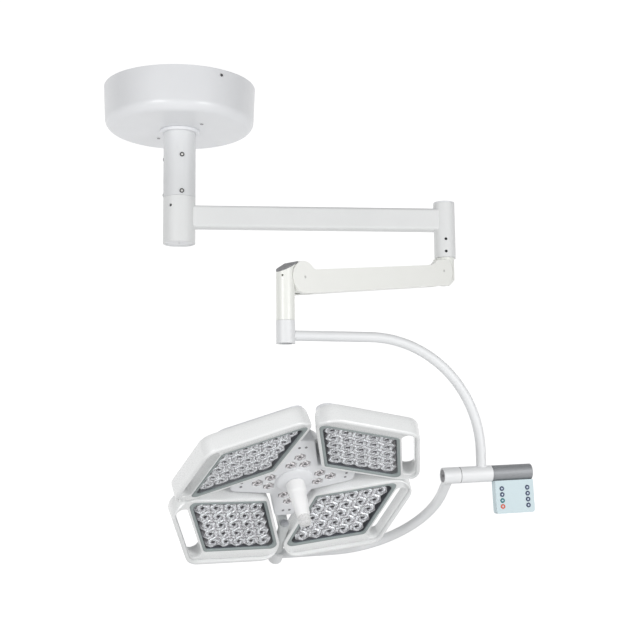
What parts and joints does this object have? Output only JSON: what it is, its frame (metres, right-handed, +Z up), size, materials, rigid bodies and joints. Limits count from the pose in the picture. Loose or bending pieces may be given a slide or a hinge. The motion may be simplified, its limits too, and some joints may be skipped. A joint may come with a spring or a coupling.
{
  "type": "ceiling operating light",
  "caption": "Ceiling-hung LED operating light with balanced spring arm, two bent-tube yokes, key pad and four-petal head with a centre handle.",
  "frame": {"origin": "centre of the ceiling plate's mounting face, on the column's axis", "axes": "+Z up along the column, +X along the main arm, so the whole light hangs below zero"},
  "size_m": [1.0864, 0.8792, 1.3009],
  "materials": {
    "black_screw": "blackened",
    "board_green": "lacquered",
    "bronze": "turned",
    "button_navy": "matt",
    "button_red": "matt",
    "copper_ring": "polished",
    "cover_shell": "smooth moulded plastic",
    "dark_grey": "satin",
    "frame_steel": "zinc plated",
    "handle_plastic": "fine textured grip",
    "hub_silver": "cast",
    "lens_clear": "moulded",
    "panel_blue": "satin",
    "screw_steel": "turned",
    "seal_grey": "matt",
    "spindle_steel": "ground",
    "spring_steel": "drawn wire",
    "supply_case": "folded sheet",
    "white_casting": "satin painted casting",
    "white_paint": "satin powder coat",
    "white_shell": "smooth satin plastic",
    "window_glass": "clear"
  },
  "bodies": {
    "ceiling_mount": {"ceiling_plate": "supply_case", "canopy_cover": "white_shell", "canopy_screws": "screw_steel", "canopy_collar": "white_shell", "column_tube": "white_paint", "column_spindle": "spindle_steel", "column_screws": "screw_steel", "power_supply": "supply_case"},
    "main_arm": {"main_arm": "white_casting", "arm_bushes": "bronze", "hub_bottom_cap": "white_shell", "slip_ring": "copper_ring", "brake_screws": "black_screw", "end_hub_cap": "white_shell"},
    "rear_knuckle": {"rear_knuckle": "white_casting", "rear_spindle": "spindle_steel"},
    "spring_arm": {"arm_frame": "frame_steel", "cover_near": "cover_shell", "cover_far": "cover_shell", "cover_screws": "screw_steel", "balance_spring": "spring_steel", "lift_axles": "spindle_steel"},
    "tie_rod": {"tie_rod": "frame_steel"},
    "spring_rod": {"spring_rod": "spindle_steel", "spring_nut": "bronze"},
    "front_knuckle": {"front_knuckle": "white_casting", "knuckle_cap": "dark_grey", "front_spindle": "spindle_steel"},
    "outer_yoke": {"yoke_tube": "white_paint", "yoke_bushes": "bronze", "control_housing": "dark_grey", "control_panel": "panel_blue", "key_board": "board_green"},
    "inner_yoke": {"inner_yoke_tube": "white_paint", "tilt_spindle": "spindle_steel", "roll_spindle": "spindle_steel", "swivel_end_cap": "dark_grey"},
    "lamp_head": {"hub_frame": "hub_silver", "hub_cover": "white_shell", "hub_lenses": "lens_clear", "petal_frame_1": "white_casting", "petal_frame_2": "white_casting", "petal_frame_3": "white_casting", "petal_frame_4": "white_casting", "petal_windows": "window_glass", "window_seals": "seal_grey", "petal_lenses": "lens_clear", "led_boards": "board_green", "back_covers": "white_shell", "hub_screws": "screw_steel", "handle_base": "white_shell"},
    "handle": {"handle_grip": "handle_plastic"},
    "button_1": {"button_1": "button_navy"},
    "button_2": {"button_2": "button_navy"},
    "button_3": {"button_3": "button_navy"},
    "button_4": {"button_4": "button_red"},
    "button_5": {"button_5": "button_navy"},
    "button_6": {"button_6": "button_navy"},
    "button_7": {"button_7": "button_navy"},
    "button_8": {"button_8": "button_navy"}
  },
  "joints": [
    {"name": "main_swing", "type": "hinge", "parent": "ceiling_mount", "child": "main_arm", "pos_m": [0, 0, -0.367], "axis": [0, 0, 1], "range_deg": [-165, 165]},
    {"name": "spring_arm_swing", "type": "hinge", "parent": "main_arm", "child": "rear_knuckle", "pos_m": [0.7435, 0, -0.396], "axis": [0, 0, 1], "range_deg": [-30, 240]},
    {"name": "lift", "type": "hinge", "parent": "rear_knuckle", "child": "spring_arm", "pos_m": [0.71346, -0.02565, -0.519], "axis": [-0.6494, 0.7604, 0], "range_deg": [-36, 45], "deforming": ["balance_spring"]},
    {"name": "tie_rod_swing", "type": "hinge", "parent": "rear_knuckle", "child": "tie_rod", "pos_m": [0.7047, -0.01539, -0.545], "axis": [-0.6494, 0.7604, 0], "range_deg": [-36, 45]},
    {"name": "spring_rod_swing", "type": "hinge", "parent": "rear_knuckle", "child": "spring_rod", "pos_m": [0.71541, -0.02793, -0.533], "axis": [-0.6494, 0.7604, 0], "range_deg": [-36, 45]},
    {"name": "front_level", "type": "hinge", "parent": "spring_arm", "child": "front_knuckle", "pos_m": [0.29231, -0.38535, -0.60177], "axis": [-0.6494, 0.7604, 0], "range_deg": [-45, 36]},
    {"name": "yoke_swing", "type": "hinge", "parent": "front_knuckle", "child": "outer_yoke", "pos_m": [0.25962, -0.41328, -0.74577], "axis": [0, 0, 1], "range_deg": [-150, 150]},
    {"name": "head_tilt", "type": "hinge", "parent": "outer_yoke", "child": "inner_yoke", "pos_m": [0.74409, -0.34691, -1.07877], "axis": [0.9899, 0.1356, 0.0401], "range_deg": [-60, 90]},
    {"name": "head_roll", "type": "hinge", "parent": "inner_yoke", "child": "lamp_head", "pos_m": [0.27981, -0.41051, -1.0976], "axis": [0.0893, -0.8196, 0.5659], "range_deg": [-60, 60]},
    {"name": "handle_turn", "type": "hinge", "parent": "lamp_head", "child": "handle", "pos_m": [0.27981, -0.41051, -1.0976], "axis": [0.1613, -0.5488, -0.8202], "range_deg": [-45, 45]},
    {"name": "button_1_press", "type": "slide", "parent": "outer_yoke", "child": "button_1", "axis": [-0.1357, 0.9907, 0], "range_m": [0, 0.001], "stiffness_N_per_m": 1200, "springref_m": -0.0008},
    {"name": "button_2_press", "type": "slide", "parent": "outer_yoke", "child": "button_2", "axis": [-0.1357, 0.9907, 0], "range_m": [0, 0.001], "stiffness_N_per_m": 1200, "springref_m": -0.0008},
    {"name": "button_3_press", "type": "slide", "parent": "outer_yoke", "child": "button_3", "axis": [-0.1357, 0.9907, 0], "range_m": [0, 0.001], "stiffness_N_per_m": 1200, "springref_m": -0.0008},
    {"name": "button_4_press", "type": "slide", "parent": "outer_yoke", "child": "button_4", "axis": [-0.1357, 0.9907, 0], "range_m": [0, 0.001], "stiffness_N_per_m": 1200, "springref_m": -0.0008},
    {"name": "button_5_press", "type": "slide", "parent": "outer_yoke", "child": "button_5", "axis": [-0.1357, 0.9907, 0], "range_m": [0, 0.001], "stiffness_N_per_m": 1200, "springref_m": -0.0008},
    {"name": "button_6_press", "type": "slide", "parent": "outer_yoke", "child": "button_6", "axis": [-0.1357, 0.9907, 0], "range_m": [0, 0.001], "stiffness_N_per_m": 1200, "springref_m": -0.0008},
    {"name": "button_7_press", "type": "slide", "parent": "outer_yoke", "child": "button_7", "axis": [-0.1357, 0.9907, 0], "range_m": [0, 0.001], "stiffness_N_per_m": 1200, "springref_m": -0.0008},
    {"name": "button_8_press", "type": "slide", "parent": "outer_yoke", "child": "button_8", "axis": [-0.1357, 0.9907, 0], "range_m": [0, 0.001], "stiffness_N_per_m": 1200, "springref_m": -0.0008}
  ],
  "couplings": [
    {"joint": "tie_rod_swing", "follows": "lift", "ratio": 1},
    {"joint": "spring_rod_swing", "follows": "lift", "ratio": 1},
    {"joint": "front_level", "follows": "lift", "ratio": -1}
  ]
}
